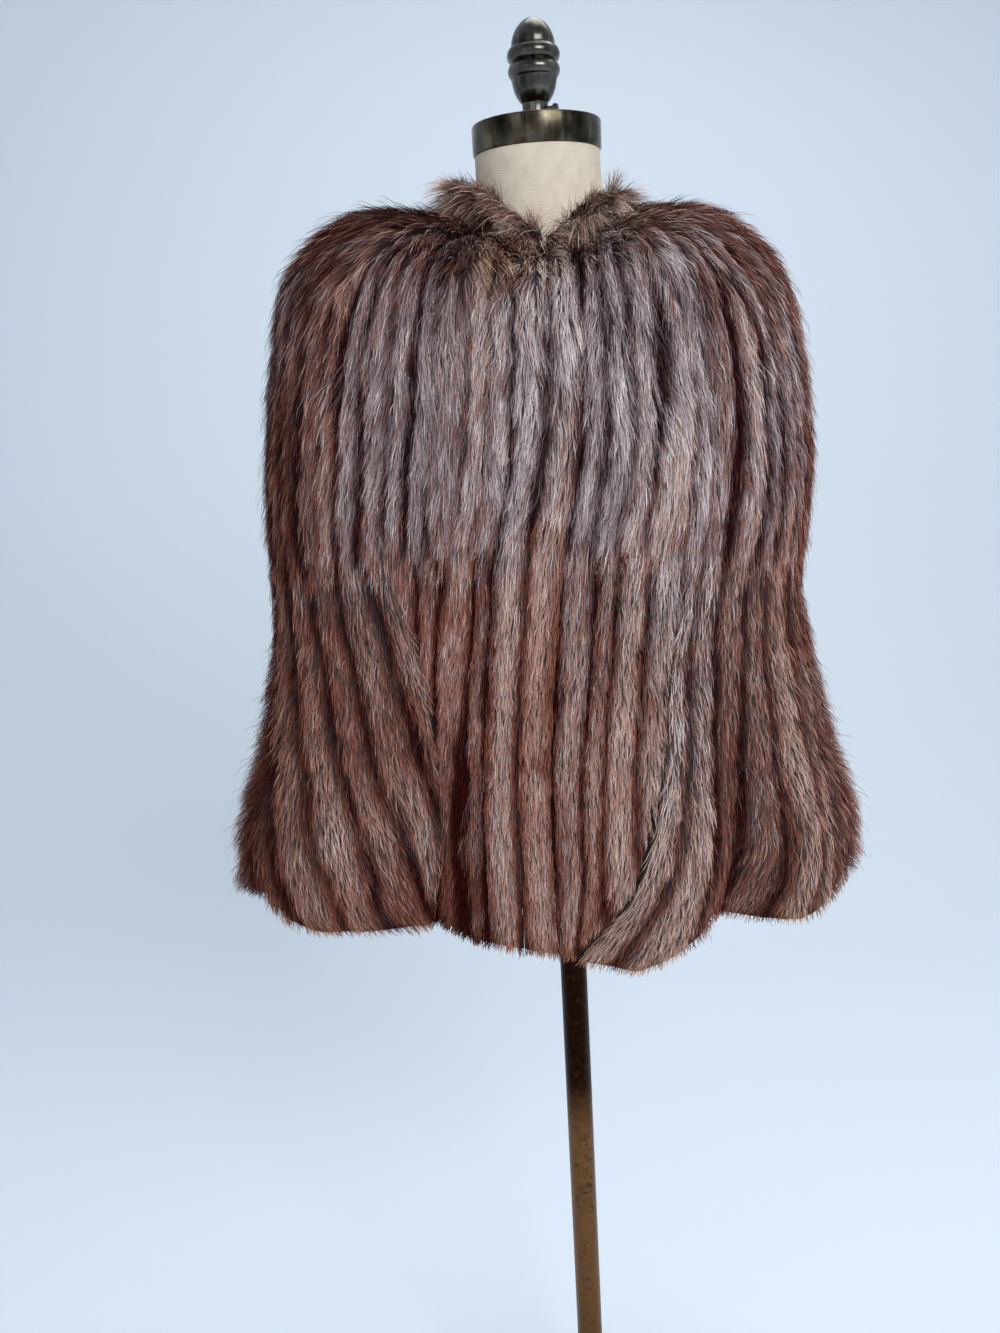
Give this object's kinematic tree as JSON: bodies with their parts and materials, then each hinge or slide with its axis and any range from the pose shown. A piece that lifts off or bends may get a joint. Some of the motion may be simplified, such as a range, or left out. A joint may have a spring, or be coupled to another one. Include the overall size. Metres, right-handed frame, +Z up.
{
  "type": "fur cape on a dress form",
  "caption": "Striped brown fur cape with a stand collar, waist seam and arm slits, shown on a linen dress form with a metal finial, pole and round base.",
  "frame": {"origin": "centre of the base's flat underside, on the pole's axis", "axes": "+Z up along the pole, -Y to the front of the cape, +X to the wearer's left"},
  "size_m": [0.6005, 0.3835, 1.4706],
  "materials": {
    "upper_fur": "long grey-brown fur in vertical pelts with dark grooves",
    "lower_fur": "long red-brown fur in vertical pelts, lighter at the tips",
    "collar_fur": "short curly dark brown fur",
    "black_satin": "black satin binding",
    "black_wire": "black enamelled wire",
    "linen": "cream linen canvas, plain weave",
    "gunmetal": "dark brushed gunmetal",
    "antique_bronze": "glossy dark antique-bronze paint, chipped"
  },
  "bodies": {
    "stand": {"base": "antique_bronze", "pole": "antique_bronze"},
    "form": {"form_body": "linen", "neck_cap": "gunmetal", "finial": "gunmetal", "set_screw": "gunmetal", "collar": "collar_fur", "front_upper_left": "upper_fur", "front_upper_right": "upper_fur", "side_upper_left": "upper_fur", "side_upper_right": "upper_fur", "back_upper": "upper_fur", "front_edge_left": "upper_fur", "front_edge_right": "upper_fur", "front_lower_left": "lower_fur", "front_lower_right": "lower_fur", "side_lower_left": "lower_fur", "side_lower_right": "lower_fur", "back_lower": "lower_fur", "slit_binding_left": "black_satin", "slit_binding_right": "black_satin", "neck_hook": "black_wire", "neck_eye": "black_wire"}
  },
  "joints": [
    {"name": "form_swivel", "type": "hinge", "parent": "stand", "child": "form", "pos_m": [0, 0, 1.02], "axis": [0, 0, 1], "continuous": true}
  ]
}
